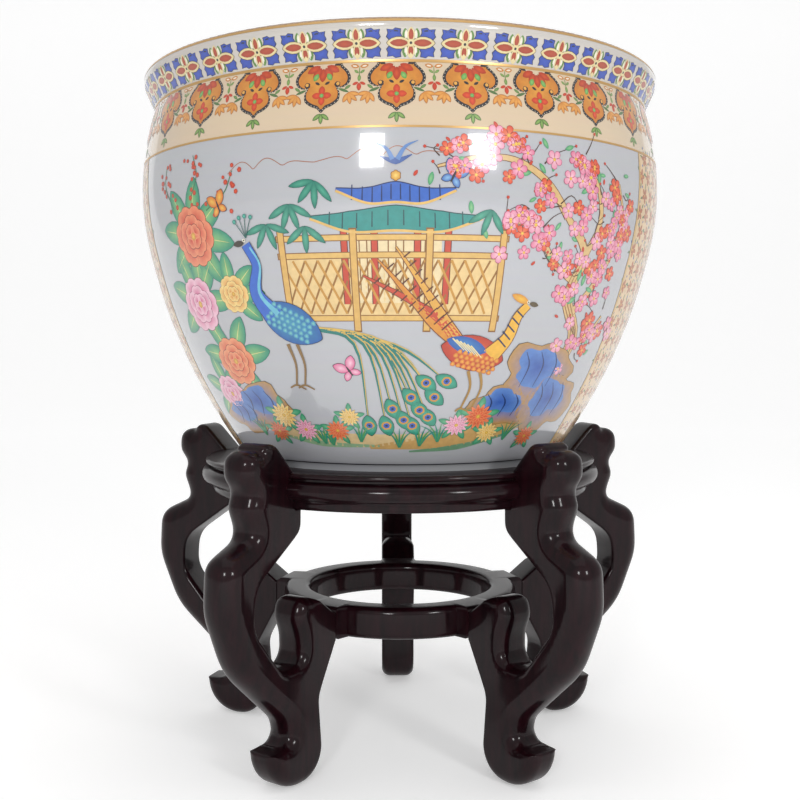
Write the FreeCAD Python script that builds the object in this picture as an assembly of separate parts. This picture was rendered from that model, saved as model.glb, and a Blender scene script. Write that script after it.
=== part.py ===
"""Fish-bowl jardiniere on a five-legged stand.

A glazed porcelain bowl with a rolled lip sits in the shallow recess of a lacquered
hardwood stand. The stand has a moulded seat ring with a round board let into it, five
scroll legs whose ears stand up past the ring, and a stretcher ring that ties the
scrolls together lower down. Millimetres, +Z up, origin on the floor on the common axis.
"""
import FreeCAD, Part
import math
import os

from FreeCAD import Base

os.makedirs("parts", exist_ok=True)

# ---- stand: layout ---------------------------------------------------------------
LEG_COUNT = 5
FIRST_LEG_DEG = 18.0          # azimuth of the first leg, so that one leg stands at the back
LEG_THICK = 30.0              # width of a leg across its flat sides
GLUE_GAP = 0.1                # clearance of a tongue or tenon in its hole
FLAT_DEG = 4.5                # round pieces are drawn with flats that span this angle

# ---- seat ring ---------------------------------------------------------------------
RING_TOP = 228.0
RING_THICK = 26.5
RING_NOSE_R = 160.4           # reach of the big half-round
RING_NOSE_RISE = 13.0         # height of that half-round
RING_BEAD_R = 157.5           # reach of the small bead along the top edge
RING_BEAD_RISE = 4.0
RING_GROOVE = 2.0             # height of the groove between bead and half-round
RING_UNDER_R = 151.2          # edge of the underside, below the cove
RING_LIP_R = 116.0            # inner edge of the lip that carries the board
RING_LIP_THICK = 12.5
HOUSING_R = 150.0             # the ring is notched back to here at each leg

# ---- seat board ---------------------------------------------------------------------
BOARD_R = 127.5
BOARD_DROP = 2.0              # board top below the ring top: the recess the foot sits in
BOARD_FIT = 0.15              # play of the board in its rebate, all round

# ---- stretcher ring ------------------------------------------------------------------
STRETCH_TOP = 121.7
STRETCH_THICK = 24.0
STRETCH_OUT_R = 95.0
STRETCH_IN_R = 73.7
STRETCH_ROUND = 3.0           # rounding of the edges
LAND_R = 104.0                # flat land that meets each leg, as a distance from the axis
LAND_WIDE = 38.0
LAND_FOOT_WIDE = 76.0         # width of the land where it leaves the ring

# ---- legs, seen from the side: r from the axis, z from the floor -----------------------
FOOT_BACK_R = 118.0           # heel and toe end of the foot, before it is rounded below
FOOT_FRONT_R = 170.0
TOE_R = 170.5                 # sharp upper edge of the toe
TOE_RISE = 27.0
ANKLE_R = 150.5               # front of the ankle, above the toe
ANKLE_RISE = 29.0
SHIN_R = 154.0                # where the leg starts to swing out
SHIN_RISE = 47.5
CALF_R = 202.0
CALF_RISE = 92.0
KNEE_R = 219.5                # the widest place of the leg
KNEE_RISE = 136.0
SHOULDER_R = 217.5
SHOULDER_RISE = 172.0
NECK_LOW_R = 187.0            # the two necks with a bead between, below the ring top
NECK_LOW_DROP = 42.0
NECK_BEAD_R = 195.0
NECK_BEAD_DROP = 21.5
NECK_TOP_R = 190.0
NECK_TOP_DROP = 12.0
KNOB_R = 198.0                # round outer knob of the ear
KNOB_DROP = 2.0
KNOB_TALL = 18.5              # above the ring top
NOTCH_R = 181.0
NOTCH_TALL = 16.5
EAR_R = 174.5                 # inner lobe of the ear
EAR_TALL = 27.0
BLOCK_R = 143.0               # block that carries the ring from below
BLOCK_DEEP = 16.5
STEM_R = 190.0                # inner side of the stem, from the top of the opening down
STEM_RISE = 152.0
STEM_LOW_R = 192.0
STEM_LOW_RISE = 124.0
CROTCH_OUT_R = 162.5          # bottom of the opening between stem and scroll
CROTCH_IN_R = 139.5
CROTCH_RISE = 87.0
WAIST_R = 136.5               # outer side of the scroll, below its curl
WAIST_RISE = 106.0
CURL_R = 145.5
CURL_RISE = 119.0
CURL_TOP_R = 142.0
CURL_TOP_RISE = 136.5
HEAD_R = 125.0                # top of the scroll, where it slopes down to the stretcher
HEAD_RISE = 134.0
HEAD_SEAT_DROP = 3.7          # the slope ends just below the stretcher's top
BACK_R = 123.5                # hollow in the back of the leg
BACK_RISE = 62.0
ROUND_DEEP = 10.0             # how far the rounded outer contour is worked in on each side
ROUND_WIDE = 11.0             # over this much of the leg's thickness
ROUND_STEPS = 2
SMALLEST_ARC = 0.8
ARC_SHARE = 0.98              # of a side's length that its two arcs may take up
ARC_STEP_DEG = 33.0           # an arc is drawn as even chords of about this turn

# ---- joinery ----------------------------------------------------------------------------
TENON_RING_DEEP = 18.0        # loose tenon between leg and seat ring: depth in the ring
TENON_LEG_DEEP = 22.0         # and in the leg
TENON_WIDE = 18.0
TENON_THICK = 9.0
LOW_TENON_RING_DEEP = 18.0    # loose tenon between scroll and stretcher ring
LOW_TENON_LEG_DEEP = 18.0
LOW_TENON_WIDE = 16.0
LOW_TENON_THICK = 8.0
SPLINE_LONG = 24.0            # loose tongues between the ring segments
SPLINE_THICK = 6.0
SEAT_SPLINE_WIDE = 16.0
SEAT_SPLINE_R = 140.0         # middle of the seat ring's tongues
STRETCH_SPLINE_WIDE = 11.0

# ---- porcelain bowl: radii, and heights above the rim of its foot -------------------------
FOOT_OUT_R = 124.0
FOOT_IN_R = 113.0
FOOT_RISE = 6.0               # underside of the floor
LOW_R = 130.6                 # body just above the foot
LOW_RISE = 8.5
BODY_R = 165.8
BODY_RISE = 74.0
FLANK_R = 193.5
FLANK_RISE = 143.0
SWELL_R = 202.6
SWELL_RISE = 179.0
BELLY_R = 204.3
BELLY_RISE = 210.0
HIGH_R = 202.9
HIGH_RISE = 234.0
COLLAR_R = 198.8
COLLAR_RISE = 258.0
NECK_R = 194.0
NECK_RISE = 273.0
RIM_R = 199.4
RIM_RISE = 283.5
LIP_R = 201.8
LIP_RISE = 292.0              # height of the lip's widest place
BOWL_TALL = 298.5
LIP_WIDE = 13.5               # the rolled lip across its top
WALL = 7.5
FLOOR_THICK = 10.0
FLOOR_COVE = 9.0              # hollow between the inside wall and the floor


def v(x, y, z=0.0):
    return Base.Vector(x, y, z)


def along_arc(start, middle, end, chords):
    """Evenly spaced points on the arc through three points, its two ends included."""
    return Part.Arc(start, middle, end).toShape().discretize(chords + 1)


def tube(r_out, r_in, z_low, z_high):
    outer = Part.makeCylinder(r_out, z_high - z_low, v(0, 0, z_low))
    return outer.cut(Part.makeCylinder(r_in, z_high - z_low, v(0, 0, z_low)))


def block(r_low, r_high, width, z_low, z_high):
    """A box that points along +X, centred on Y = 0."""
    return Part.makeBox(r_high - r_low, width, z_high - z_low, v(r_low, -width / 2, z_low))


def at_azimuth(shape, degrees):
    copy = shape.copy()
    copy.rotate(v(0, 0, 0), v(0, 0, 1), degrees)
    return copy


LEG_AZIMUTHS = [FIRST_LEG_DEG + 360.0 / LEG_COUNT * i for i in range(LEG_COUNT)]
SEGMENT_DEG = 360.0 / LEG_COUNT


def around(shape, offset=0.0):
    """One copy of a shape at each leg, turned by offset from it."""
    return [at_azimuth(shape, azimuth + offset) for azimuth in LEG_AZIMUTHS]


def inset(corners, depth):
    """Move each side of a (r, z, radius, share) outline inwards by its share of depth.

    The share belongs to the side that follows its corner. An outward corner's radius
    shrinks with the move and an inward corner's grows, so the arcs stay concentric.
    """
    moved = []
    for i, (r, z, radius, share) in enumerate(corners):
        r0, z0, _, share_before = corners[i - 1]
        r1, z1 = corners[(i + 1) % len(corners)][:2]
        before = Base.Vector(r - r0, z - z0, 0).normalize()
        after = Base.Vector(r1 - r, z1 - z, 0).normalize()
        turn = before.x * after.y - before.y * after.x
        in_before, in_after = depth * share_before, depth * share
        dr = (in_before * after.x - in_after * before.x) / turn
        dz = (in_before * after.y - in_after * before.y) / turn
        if radius:
            shift = (in_before + in_after) / 2
            radius = max(radius - math.copysign(shift, turn), SMALLEST_ARC)
        moved.append((r + dr, z + dz, radius))
    return moved


def rounded_outline(corners, y):
    """Points in the plane Y = y along (r, z, radius) corners with tangent arcs.

    Where two arcs would meet on a short side, both are held to what the side allows.
    """
    count = len(corners)
    points = [v(r, y, z) for r, z, _ in corners]
    sides = [(points[(i + 1) % count] - points[i]) for i in range(count)]
    half_open = [(-sides[i - 1]).getAngle(sides[i]) / 2 for i in range(count)]
    reach = [corners[i][2] / math.tan(half_open[i]) for i in range(count)]
    room = [
        min(1.0, ARC_SHARE * sides[i].Length / max(reach[i] + reach[(i + 1) % count], SMALLEST_ARC))
        for i in range(count)
    ]
    outline = []
    for i, here in enumerate(points):
        held = min(room[i - 1], room[i])
        radius = corners[i][2] * held
        if not radius:
            outline.append(here)
            continue
        to_back = (-sides[i - 1]).normalize()
        to_ahead = Base.Vector(sides[i]).normalize()
        halfway = (to_back + to_ahead).normalize()
        start, end = here + to_back * (reach[i] * held), here + to_ahead * (reach[i] * held)
        middle = here + halfway * (radius / math.sin(half_open[i]) - radius)
        turn = 180 - 2 * math.degrees(half_open[i])
        outline += along_arc(start, middle, end, max(1, round(turn / ARC_STEP_DEG)))
    return outline


def flat_sided(outlines):
    """A solid with a flat face at each end and between the matching sides of its outlines."""
    faces = [Part.Face(Part.makePolygon(end + end[:1])) for end in (outlines[0], outlines[-1])]
    for low, high in zip(outlines, outlines[1:]):
        for i in range(len(low)):
            quad = [low[i - 1], low[i], high[i], high[i - 1]]
            faces.append(Part.Face(Part.makePolygon(quad + quad[:1])))
    shell = Part.Shell(faces)
    shell.sewShape()
    solid = Part.Solid(shell)
    if solid.Volume < 0:
        solid.reverse()
    return solid


def turned(point, degrees):
    return Base.Rotation(v(0, 0, 1), degrees).multVec(point)


def full_turn(point):
    """The ring of points that one point makes on its way round the axis."""
    return [turned(point, FLAT_DEG * i) for i in range(round(360 / FLAT_DEG))]


def ring_segment(profile):
    """One leg's share of the ring that a profile makes, centred on +X."""
    flats = round(SEGMENT_DEG / FLAT_DEG)
    turns = [FLAT_DEG * (i - flats / 2) for i in range(flats + 1)]
    return flat_sided([[turned(point, turn) for point in profile] for turn in turns])


def wedge(shape, azimuth, degrees):
    """The part of a shape that lies within degrees of arc about an azimuth."""
    box = shape.BoundBox
    pie = Part.makeCylinder(
        box.DiagonalLength, box.ZLength, v(0, 0, box.ZMin), v(0, 0, 1), degrees
    )
    return shape.common(at_azimuth(pie, azimuth - degrees / 2))


def less(shape, cutters):
    return shape.cut(Part.makeCompound(cutters))


def save(name, solids):
    Part.makeCompound(solids).exportStep(f"parts/{name}.step")


# ---- seat ring: a round moulding in five segments ------------------------------------------
ring_under = RING_TOP - RING_THICK
lip_top = ring_under + RING_LIP_THICK
rebate_r = BOARD_R + BOARD_FIT
bead_r = RING_BEAD_R - RING_BEAD_RISE / 2
bead_low = RING_TOP - RING_BEAD_RISE
nose_top = bead_low - RING_GROOVE
nose_in_r = RING_NOSE_R - RING_NOSE_RISE / 2
nose_low = nose_top - RING_NOSE_RISE
cove_r = RING_UNDER_R + (nose_in_r - RING_UNDER_R) / 3

moulding = [v(RING_LIP_R, 0, ring_under), v(RING_LIP_R, 0, lip_top), v(rebate_r, 0, lip_top)]
moulding += [v(rebate_r, 0, RING_TOP)]
moulding += along_arc(
    v(bead_r, 0, RING_TOP),
    v(RING_BEAD_R, 0, RING_TOP - RING_BEAD_RISE / 2),
    v(bead_r, 0, bead_low),
    2,
)
moulding += along_arc(
    v(nose_in_r, 0, nose_top),
    v(RING_NOSE_R, 0, nose_top - RING_NOSE_RISE / 2),
    v(nose_in_r, 0, nose_low),
    3,
)
moulding += [v(cove_r, 0, (nose_low + ring_under) / 2), v(RING_UNDER_R, 0, ring_under)]

housing = block(HOUSING_R, RING_NOSE_R + LEG_THICK, LEG_THICK, ring_under - 1, RING_TOP + 1)
tenon_mid = (RING_TOP + ring_under) / 2
tenon_low, tenon_high = tenon_mid - TENON_THICK / 2, tenon_mid + TENON_THICK / 2
tenon = block(
    HOUSING_R - TENON_RING_DEEP, HOUSING_R + TENON_LEG_DEEP, TENON_WIDE, tenon_low, tenon_high
)
mortise = block(
    HOUSING_R - TENON_RING_DEEP - GLUE_GAP,
    HOUSING_R + TENON_LEG_DEEP + GLUE_GAP,
    TENON_WIDE + 2 * GLUE_GAP,
    tenon_low - GLUE_GAP,
    tenon_high + GLUE_GAP,
)


def spline(middle_r, wide, mid_z, play):
    """A loose tongue across the joint of two segments, or with play its slot."""
    half = wide / 2 + play
    thick = SPLINE_THICK / 2 + play
    return block(middle_r - half, middle_r + half, SPLINE_LONG + 2 * play, mid_z - thick, mid_z + thick)


seat_tongue = spline(SEAT_SPLINE_R, SEAT_SPLINE_WIDE, tenon_mid, 0)
seat_slot = spline(SEAT_SPLINE_R, SEAT_SPLINE_WIDE, tenon_mid, GLUE_GAP)

end_slots = [at_azimuth(seat_slot, side * SEGMENT_DEG / 2) for side in (-1, 1)]
seat_segment = less(ring_segment(moulding), [housing, mortise] + end_slots)
for number, segment in enumerate(around(seat_segment), 1):
    save(f"seat_ring_segment_{number}", segment.Solids)
save("seat_ring_splines", around(seat_tongue, SEGMENT_DEG / 2))
save("leg_tenons", around(tenon))

# ---- seat board: a round board let into the ring's rebate ---------------------------------
board_top = RING_TOP - BOARD_DROP
board_edge = [v(BOARD_R, 0, lip_top), v(BOARD_R, 0, board_top)]
save("seat_board", [flat_sided([full_turn(point) for point in board_edge])])

# ---- stretcher ring: five segments, each with a flat land for its leg -------------------------
stretch_under = STRETCH_TOP - STRETCH_THICK
stretch_mid = (STRETCH_TOP + stretch_under) / 2
half_foot = LAND_FOOT_WIDE / 2
land_foot_r = math.sqrt(STRETCH_OUT_R**2 - half_foot**2)
land = Part.Face(
    Part.makePolygon(
        [
            v(land_foot_r, -half_foot, stretch_under),
            v(LAND_R, -LAND_WIDE / 2, stretch_under),
            v(LAND_R, LAND_WIDE / 2, stretch_under),
            v(land_foot_r, half_foot, stretch_under),
            v(land_foot_r, -half_foot, stretch_under),
        ]
    )
).extrude(v(0, 0, STRETCH_THICK))
stretcher = tube(STRETCH_OUT_R, STRETCH_IN_R, stretch_under, STRETCH_TOP)
stretcher = stretcher.multiFuse(around(land)).removeSplitter()
flat_edges = [e for e in stretcher.Edges if e.BoundBox.ZLength < 0.01]
stretcher = stretcher.makeChamfer(STRETCH_ROUND / 2, flat_edges)

low_tenon_low, low_tenon_high = stretch_mid - LOW_TENON_THICK / 2, stretch_mid + LOW_TENON_THICK / 2
low_tenon = block(
    LAND_R - LOW_TENON_RING_DEEP,
    LAND_R + LOW_TENON_LEG_DEEP,
    LOW_TENON_WIDE,
    low_tenon_low,
    low_tenon_high,
)
low_mortise = block(
    LAND_R - LOW_TENON_RING_DEEP - GLUE_GAP,
    LAND_R + LOW_TENON_LEG_DEEP + GLUE_GAP,
    LOW_TENON_WIDE + 2 * GLUE_GAP,
    low_tenon_low - GLUE_GAP,
    low_tenon_high + GLUE_GAP,
)

stretch_spline_r = (STRETCH_OUT_R + STRETCH_IN_R) / 2
stretch_tongue = spline(stretch_spline_r, STRETCH_SPLINE_WIDE, stretch_mid, 0)
stretch_slot = spline(stretch_spline_r, STRETCH_SPLINE_WIDE, stretch_mid, GLUE_GAP)
stretcher = less(stretcher, around(low_mortise) + around(stretch_slot, SEGMENT_DEG / 2))
for number, azimuth in enumerate(LEG_AZIMUTHS, 1):
    save(f"stretcher_segment_{number}", wedge(stretcher, azimuth, SEGMENT_DEG).Solids)
save("stretcher_splines", around(stretch_tongue, SEGMENT_DEG / 2))
save("scroll_tenons", around(low_tenon))

# ---- legs: each sawn from one board, its outer contour worked round -----------------------------
# Corners run anticlockwise from under the foot: r, z, radius, and how much of the side
# rounding the stretch after the corner gets.
leg_outline = [
    (FOOT_BACK_R, 0, 22, 1),
    (FOOT_FRONT_R, 0, 22, 1),
    (TOE_R, TOE_RISE, 2.5, 0.5),
    (ANKLE_R, ANKLE_RISE, 7, 1),
    (SHIN_R, SHIN_RISE, 18, 1),
    (CALF_R, CALF_RISE, 60, 1),
    (KNEE_R, KNEE_RISE, 45, 1),
    (SHOULDER_R, SHOULDER_RISE, 15, 1),
    (NECK_LOW_R, RING_TOP - NECK_LOW_DROP, 7, 0.5),
    (NECK_BEAD_R, RING_TOP - NECK_BEAD_DROP, 9, 0.5),
    (NECK_TOP_R, RING_TOP - NECK_TOP_DROP, 5, 0.5),
    (KNOB_R, RING_TOP - KNOB_DROP, 9, 0.5),
    (KNOB_R - 0.5, RING_TOP + KNOB_TALL, 10, 0.5),
    (NOTCH_R, RING_TOP + NOTCH_TALL, 0, 0.5),
    (EAR_R, RING_TOP + EAR_TALL, 8, 0),
    (HOUSING_R, RING_TOP, 0, 0),
    (HOUSING_R, ring_under, 0, 0),
    (BLOCK_R, ring_under, 0, 0),
    (BLOCK_R + 0.3, ring_under - BLOCK_DEEP, 9, 0.15),
    (STEM_R, STEM_RISE, 22, 0.15),
    (STEM_LOW_R, STEM_LOW_RISE, 24, 0.15),
    (CROTCH_OUT_R, CROTCH_RISE, 14, 0.5),
    (CROTCH_IN_R, CROTCH_RISE, 10, 0.5),
    (WAIST_R, WAIST_RISE, 20, 0.5),
    (CURL_R, CURL_RISE, 7, 0.5),
    (CURL_TOP_R, CURL_TOP_RISE, 8, 0.5),
    (HEAD_R, HEAD_RISE, 22, 0.15),
    (LAND_R, STRETCH_TOP - HEAD_SEAT_DROP, 0, 0),
    (LAND_R, stretch_under, 0, 0.15),
    (BACK_R, BACK_RISE, 16, 0.15),
]
# The rounding is a quarter ellipse, worked from the flat side to the middle of the edge.
half_thick = LEG_THICK / 2
rounding = []
for step in range(ROUND_STEPS + 1):
    turn = math.pi / 2 * step / ROUND_STEPS
    y = half_thick - ROUND_WIDE * (1 - math.cos(turn))
    rounding.append((y, ROUND_DEEP * (1 - math.sin(turn))))
both_sides = rounding + [(-y, depth) for y, depth in reversed(rounding)]
leg = flat_sided([rounded_outline(inset(leg_outline, depth), y) for y, depth in both_sides])
leg = less(leg, [mortise, low_mortise])
for number, turned_leg in enumerate(around(leg), 1):
    save(f"leg_{number}", turned_leg.Solids)

# ---- bowl: one thrown porcelain body with a rolled lip and a foot ring ----------------------------
seat = board_top
floor_under = seat + FOOT_RISE
floor_top = floor_under + FLOOR_THICK
lip_mid_r = LIP_R - LIP_WIDE / 2
lip_in_r = LIP_R - LIP_WIDE
cove_in_r = LOW_R - WALL


def at(r, rise, inwards=0.0):
    return v(r - inwards, 0, seat + rise)


wall = [v(FOOT_IN_R, 0, floor_under), at(FOOT_IN_R, 0), at(FOOT_OUT_R, 0)]
wall += along_arc(at(LOW_R, LOW_RISE), at(BODY_R, BODY_RISE), at(FLANK_R, FLANK_RISE), 4)
wall += along_arc(at(FLANK_R, FLANK_RISE), at(SWELL_R, SWELL_RISE), at(BELLY_R, BELLY_RISE), 2)[1:]
wall += along_arc(at(BELLY_R, BELLY_RISE), at(HIGH_R, HIGH_RISE), at(COLLAR_R, COLLAR_RISE), 2)[1:]
wall += along_arc(at(COLLAR_R, COLLAR_RISE), at(NECK_R, NECK_RISE), at(RIM_R, RIM_RISE), 4)[1:]
wall += along_arc(at(LIP_R, LIP_RISE), at(lip_mid_r, BOWL_TALL), at(lip_in_r, LIP_RISE), 5)
wall += [at(NECK_R, NECK_RISE, WALL)]
wall += along_arc(
    at(BELLY_R, BELLY_RISE, WALL), at(SWELL_R, SWELL_RISE, WALL), at(FLANK_R, FLANK_RISE, WALL), 2
)
wall += [at(BODY_R, BODY_RISE, WALL), v(cove_in_r, 0, floor_top + FLOOR_COVE)]
wall += [v(cove_in_r - FLOOR_COVE, 0, floor_top)]
save("bowl", [flat_sided([full_turn(point) for point in wall])])
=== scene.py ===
import math

import bpy
import numpy as np
from mathutils.geometry import delaunay_2d_cdt
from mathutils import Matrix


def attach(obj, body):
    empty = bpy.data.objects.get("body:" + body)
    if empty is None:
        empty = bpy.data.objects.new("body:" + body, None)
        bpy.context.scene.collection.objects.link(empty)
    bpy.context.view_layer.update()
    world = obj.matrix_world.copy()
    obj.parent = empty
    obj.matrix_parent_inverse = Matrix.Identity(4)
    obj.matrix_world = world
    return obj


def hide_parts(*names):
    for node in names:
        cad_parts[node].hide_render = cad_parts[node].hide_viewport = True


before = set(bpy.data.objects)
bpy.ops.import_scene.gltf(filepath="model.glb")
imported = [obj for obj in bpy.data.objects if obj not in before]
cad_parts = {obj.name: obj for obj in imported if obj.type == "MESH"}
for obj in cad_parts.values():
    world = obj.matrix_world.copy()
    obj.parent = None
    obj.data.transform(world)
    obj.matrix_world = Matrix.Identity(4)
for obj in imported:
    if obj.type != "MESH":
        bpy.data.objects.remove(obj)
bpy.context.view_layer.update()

# ---- The stand's wood: dark hardwood, sawn, planed and brushed with many coats of red-black
# ---- lacquer, each rubbed down. Only a faint long grain shows through, under a clear gloss.


def linear(hex_colour):
    """Linear RGBA of an sRGB hex colour."""
    srgb = np.array([int(hex_colour[i : i + 2], 16) for i in (1, 3, 5)]) / 255.0
    rgb = np.where(srgb <= 0.04045, srgb / 12.92, ((srgb + 0.055) / 1.055) ** 2.4)
    return (*rgb, 1.0)


def new_material(name):
    """A material with its Principled shader, and its node tree."""
    material = bpy.data.materials.new(name)
    material.use_nodes = True
    tree = material.node_tree
    return material, tree, tree.nodes["Principled BSDF"]


def wire(node, **inputs):
    """Set a node's inputs to values, or link them to output sockets.

    An input is named with _ for a space, or numbered as _3 where names repeat.
    """
    for name, value in inputs.items():
        socket = node.inputs[int(name[1:]) if name[1:].isdigit() else name.replace("_", " ")]
        if isinstance(value, bpy.types.NodeSocket):
            node.id_data.links.new(value, socket)
        else:
            socket.default_value = value


def add(tree, kind, settings=None, **inputs):
    """Add a node with its settings and inputs."""
    node = tree.nodes.new(kind)
    for name, value in (settings or {}).items():
        setattr(node, name, value)
    wire(node, **inputs)
    return node


# Brushed lacquer: the wood gives soft, nearly black streaks in its depth, and the rubbed clear
# coat gives narrow bright highlights that waver a little.
STREAK_SCALE = 3.0
STREAKS = (60.0, 60.0, 9.0)  # per metre, times the scale: streaks 5.6 mm wide and 37 mm long
RUBBED_WAVES, RUBBED_DEPTH = 28.0, 0.0006  # per metre and metres: waves about 36 mm across
lacquer, tree, shader = new_material("red_black_lacquer_on_hardwood")
place = add(tree, "ShaderNodeTexCoord").outputs["Object"]
stretched = add(tree, "ShaderNodeMapping", _3=STREAKS, Vector=place).outputs[0]
grain = add(
    tree, "ShaderNodeTexNoise", Vector=stretched, Scale=STREAK_SCALE, Detail=6.0, Roughness=0.6
)
tone = add(tree, "ShaderNodeValToRGB", Fac=grain.outputs["Fac"])
tone.color_ramp.elements[0].color = linear("#0E0306")
tone.color_ramp.elements[0].position = 0.35
tone.color_ramp.elements[1].color = linear("#1F070D")
tone.color_ramp.elements[1].position = 0.7
ripple = add(tree, "ShaderNodeTexNoise", Vector=place, Scale=RUBBED_WAVES, Detail=2.0)
bump = add(
    tree, "ShaderNodeBump", Strength=0.12, Distance=RUBBED_DEPTH, Height=ripple.outputs["Fac"]
)
wire(shader, Base_Color=tone.outputs["Color"], Roughness=0.4, Specular_IOR_Level=0.05)
wire(shader, Coat_Weight=0.36, Coat_Roughness=0.09)
wire(shader, Normal=bump.outputs["Normal"], Coat_Normal=bump.outputs["Normal"])


# ---- Legs: five, each sawn from one board of the lacquered hardwood, the outer contour worked
# ---- fully round and the inner edges left nearly sharp. Each is housed over the seat ring and
# ---- tenoned to both rings.
LEG_THICK = 30.0
LEG_AZIMUTH = 18  # degrees from +X to the first leg, anticlockwise from above
LEG_STEP = 0.9  # mm between the points of the outline
LEG_FIELD, FIELD_GAP = 3.0, 1.0  # mm between the points of the flat faces, and to the edges
HAND_WORN = 3.0  # mm over which rasp and sandpaper ease the outline
CREASE = math.radians(38)  # edges at a sharper angle stay sharp
leg_corners = np.array(
    # anticlockwise from under the foot: r, z, corner radius, edge radius of the side after it
    [
        (118, 0, 22, 9), (170.5, 0, 30, 11), (172.5, 29.5, 2, 6), (150.5, 30, 7, 14),
        (154, 47.5, 18, 14), (202, 92, 60, 14), (219.5, 136, 45, 14), (217.5, 172, 15, 14),
        (187, 186, 7, 13), (195, 206.5, 9, 13), (190, 216, 5, 13), (198, 226, 9, 13),
        (197.5, 246.5, 10, 11), (181, 244.5, 3, 6), (174.5, 255, 8, 3), (150, 228, 1, 1),
        (150, 201.5, 0.5, 1), (143, 201.5, 1, 1.5), (143.3, 185, 9, 2.5), (190, 152, 22, 2.5),
        (192, 124, 24, 4), (162.5, 87, 14, 7), (139, 86, 10, 9), (139.5, 106, 24, 10),
        (146, 121, 8, 10), (142, 136.5, 9, 9), (125, 134, 22, 2), (104, 118, 1, 1),
        (104, 97.7, 1, 1.5), (123.5, 62, 16, 2.5),
    ]
)


def new_object(name, points_mm, faces, material):
    """An object from an array of points in millimetres and an array of faces, smooth shaded."""
    mesh = bpy.data.meshes.new(name)
    mesh.vertices.add(len(points_mm))
    mesh.vertices.foreach_set("co", (np.asarray(points_mm) / 1000).ravel())
    mesh.loops.add(faces.size)
    mesh.loops.foreach_set("vertex_index", faces.ravel())
    mesh.polygons.add(len(faces))
    mesh.polygons.foreach_set("loop_start", np.arange(len(faces)) * faces.shape[1])
    mesh.polygons.foreach_set("use_smooth", np.ones(len(faces), bool))
    mesh.update(calc_edges=True)
    mesh.validate()
    mesh.materials.append(material)
    obj = bpy.data.objects.new(name, mesh)
    bpy.context.scene.collection.objects.link(obj)
    return obj


def rounded_outline(corners, per_arc, spacing):
    """Walk a closed outline whose corners are rounded by arcs tangent to both sides.

    An arc of radius R reaches R / tan(half the corner's angle) along each side, and is held
    back where two arcs would meet. Returns evenly spaced points and their edge radii.
    """
    at, radius, edge = corners[:, :2], corners[:, 2], corners[:, 3]
    ahead = np.roll(at, -1, 0) - at
    length = np.hypot(*ahead.T)
    ahead = ahead / length[:, None]
    back = -np.roll(ahead, 1, 0)
    half = np.arccos(np.clip((ahead * back).sum(1), -1, 1)) / 2
    reach = radius / np.tan(half)
    room = np.minimum(1, 0.98 * length / np.maximum(reach + np.roll(reach, -1), 1e-6))
    radius = radius * np.minimum(room, np.roll(room, 1))
    inward = ahead + back
    inward = inward / np.hypot(*inward.T)[:, None]
    centre = at + inward * (radius / np.sin(half))[:, None]
    sweep = math.pi / 2 - half
    turn = np.linspace(-1, 1, per_arc)[None, :] * sweep[:, None]
    side = np.sign(inward[:, 0] * back[:, 1] - inward[:, 1] * back[:, 0])[:, None]
    cos, sin = np.cos(turn * side), np.sin(turn * side)
    out = -inward[:, None, :] * radius[:, None, None]
    dx, dy = out[..., 0], out[..., 1]
    arc = np.stack([dx * cos - dy * sin, dx * sin + dy * cos], -1)
    points = (centre[:, None, :] + arc).reshape(-1, 2)
    share = np.linspace(0, 1, per_arc)[None, :]
    edges = (np.roll(edge, 1)[:, None] * (1 - share) + edge[:, None] * share).ravel()
    closed = np.vstack([points, points[:1]])
    walked = np.concatenate([[0], np.cumsum(np.hypot(*np.diff(closed, axis=0).T))])
    even = np.linspace(0, walked[-1], int(walked[-1] / spacing), endpoint=False)
    line = np.stack([np.interp(even, walked, closed[:, i]) for i in (0, 1)], 1)
    return line, np.interp(even, walked, np.append(edges, edges[0]))


def nearest(points, line):
    """Distance from each point to each point of a line, by Pythagoras."""
    return np.hypot(*(points[:, None] - line[None]).transpose(2, 0, 1))


def eased(line, spacing, sharp_points, spread):
    """Blur a closed line along itself, except near the sharp points.

    Each point moves towards the mean of its neighbours, weighted by a Gaussian of the spread, by
    a share that grows from 0 at 1.5 mm from a sharp point to 1 at three spreads farther.
    """
    offsets = np.arange(-round(3 * spread / spacing), round(3 * spread / spacing) + 1)
    weight = np.exp(-0.5 * (offsets * spacing / spread) ** 2)
    soft = sum(w * np.roll(line, o, 0) for w, o in zip(weight / weight.sum(), offsets))
    free = np.clip((nearest(line, sharp_points).min(1) - 1.5) / (3 * spread), 0, 1)[:, None]
    return line + (soft - line) * free


outline, edge_radius = rounded_outline(leg_corners, 12, LEG_STEP)
outline = eased(outline, LEG_STEP, leg_corners[leg_corners[:, 2] <= 3, :2], HAND_WORN)
tangent = np.roll(outline, -1, 0) - np.roll(outline, 1, 0)
inwards = np.stack([-tangent[:, 1], tangent[:, 0]], 1) / np.hypot(*tangent.T)[:, None]
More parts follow.
